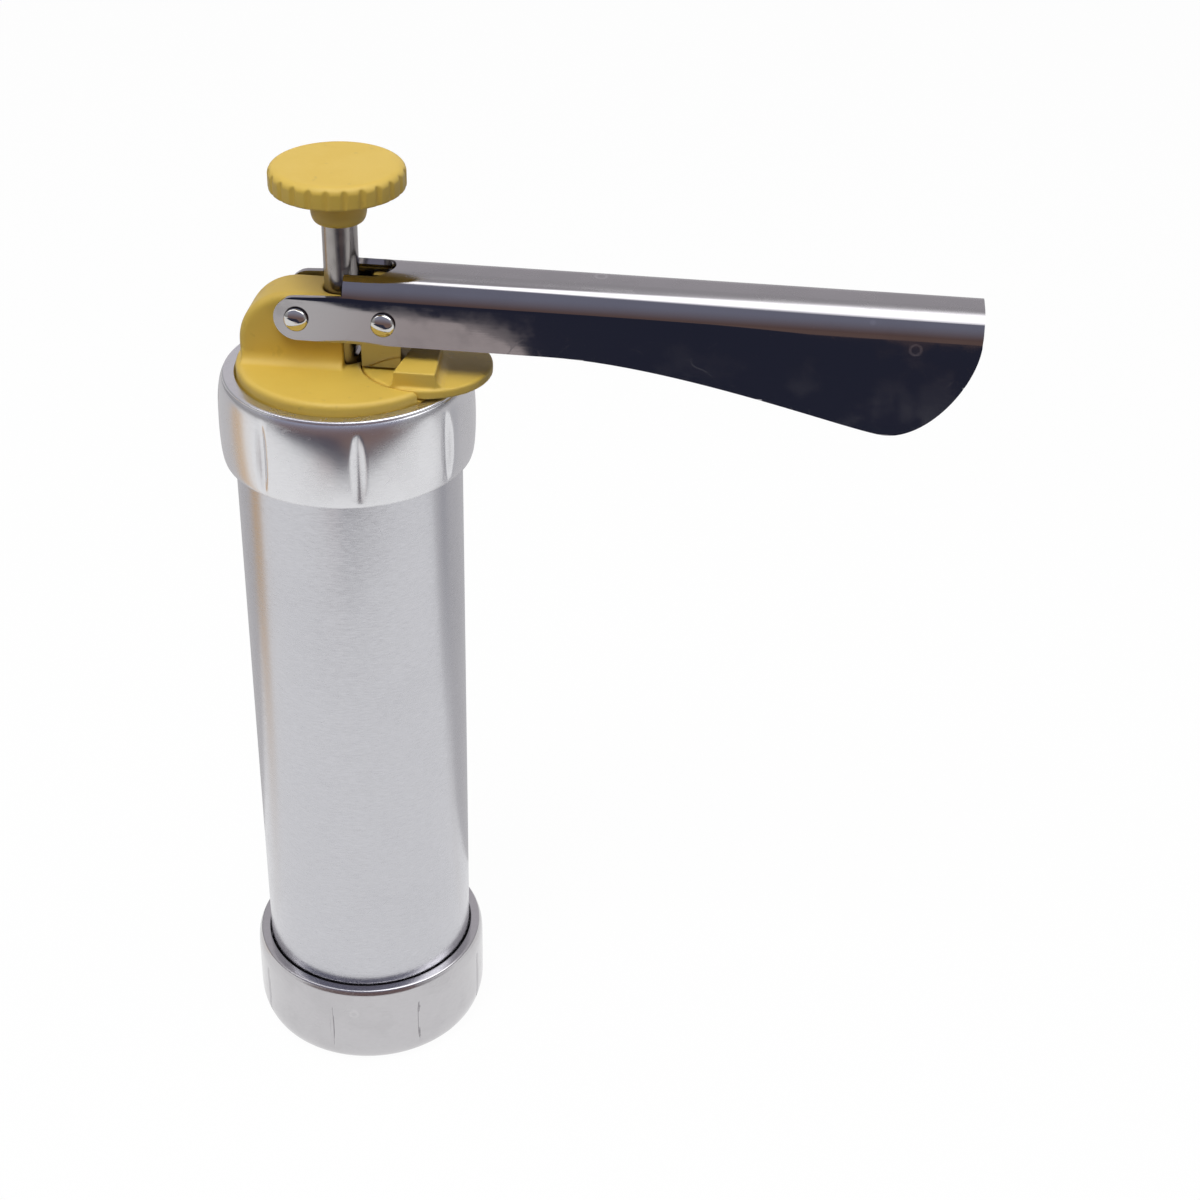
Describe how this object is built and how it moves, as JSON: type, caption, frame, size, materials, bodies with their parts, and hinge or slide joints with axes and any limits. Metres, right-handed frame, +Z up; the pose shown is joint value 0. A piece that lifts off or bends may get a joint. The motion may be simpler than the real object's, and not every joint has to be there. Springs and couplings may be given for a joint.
{
  "type": "cookie press",
  "caption": "Lever-action cookie press: aluminium barrel between screwed ring nuts, yellow plastic head, steel lever that feeds a toothed rod and its piston, and a dial for the stroke.",
  "frame": {"origin": "middle of the bounding box at the height of the foot", "axes": "+Z up along the barrel, +X from the barrel towards the lever's free end, Y across the lever"},
  "size_m": [0.1562, 0.0544, 0.2162],
  "materials": {
    "yellow_plastic": "satin",
    "white_plastic": "satin",
    "satin_aluminium": "satin anodised",
    "bright_aluminium": "bright",
    "stainless_steel": "polished stainless",
    "ground_steel": "ground",
    "polished_steel": "polished",
    "spring_steel": "dark spring steel"
  },
  "bodies": {
    "barrel": {"barrel": "satin_aluminium"},
    "head": {"head_body": "yellow_plastic", "rod_catch": "spring_steel", "catch_screw": "spring_steel"},
    "top_ring": {"top_ring_nut": "satin_aluminium"},
    "die": {"pattern_die": "bright_aluminium"},
    "base_ring": {"base_ring_nut": "satin_aluminium"},
    "piston": {"piston": "white_plastic"},
    "plunger": {"plunger_rod": "ground_steel", "knob": "yellow_plastic", "piston_washer": "ground_steel", "piston_nut": "ground_steel"},
    "lever": {"lever": "stainless_steel", "lever_pivot_rivet": "polished_steel", "pawl_rivet": "polished_steel", "pawl_spring": "spring_steel"},
    "pawl": {"feed_pawl": "stainless_steel"},
    "dial": {"size_dial": "yellow_plastic", "dial_washer": "ground_steel", "dial_screw": "ground_steel"}
  },
  "joints": [
    {"name": "head_lift", "type": "slide", "parent": "barrel", "child": "head", "axis": [0, 0, 1], "range_m": [0, 0.0075]},
    {"name": "top_ring_turn", "type": "hinge", "parent": "head", "child": "top_ring", "pos_m": [-0.05095, 0, 0.162], "axis": [0, 0, 1], "range_deg": [0, 1080]},
    {"name": "die_drop", "type": "slide", "parent": "barrel", "child": "die", "axis": [0, 0, -1], "range_m": [0, 0.0075]},
    {"name": "base_ring_turn", "type": "hinge", "parent": "die", "child": "base_ring", "pos_m": [-0.05095, 0, 0.011], "axis": [0, 0, -1], "range_deg": [0, 1080]},
    {"name": "plunger_slide", "type": "slide", "parent": "head", "child": "piston", "axis": [0, 0, 1], "range_m": [0, 0.1507]},
    {"name": "rod_turn", "type": "hinge", "parent": "piston", "child": "plunger", "pos_m": [-0.05095, 0, 0.1], "axis": [0, 0, 1], "continuous": true},
    {"name": "lever_lift", "type": "hinge", "parent": "head", "child": "lever", "pos_m": [-0.05905, 0, 0.1855], "axis": [0, -1, 0], "range_deg": [0, 28]},
    {"name": "pawl_swing", "type": "hinge", "parent": "lever", "child": "pawl", "pos_m": [-0.04125, 0, 0.1855], "axis": [0, -1, 0], "range_deg": [-19.5, 0]},
    {"name": "dial_turn", "type": "hinge", "parent": "head", "child": "dial", "pos_m": [-0.03365, 0, 0.1734], "axis": [0, 0, 1], "range_deg": [0, 90]}
  ],
  "couplings": [
    {"joint": "head_lift", "follows": "top_ring_turn", "m_per_rad": 0.0003978},
    {"joint": "die_drop", "follows": "base_ring_turn", "m_per_rad": 0.0003978},
    {"joint": "pawl_swing", "follows": "lever_lift", "ratio": -0.6964}
  ]
}
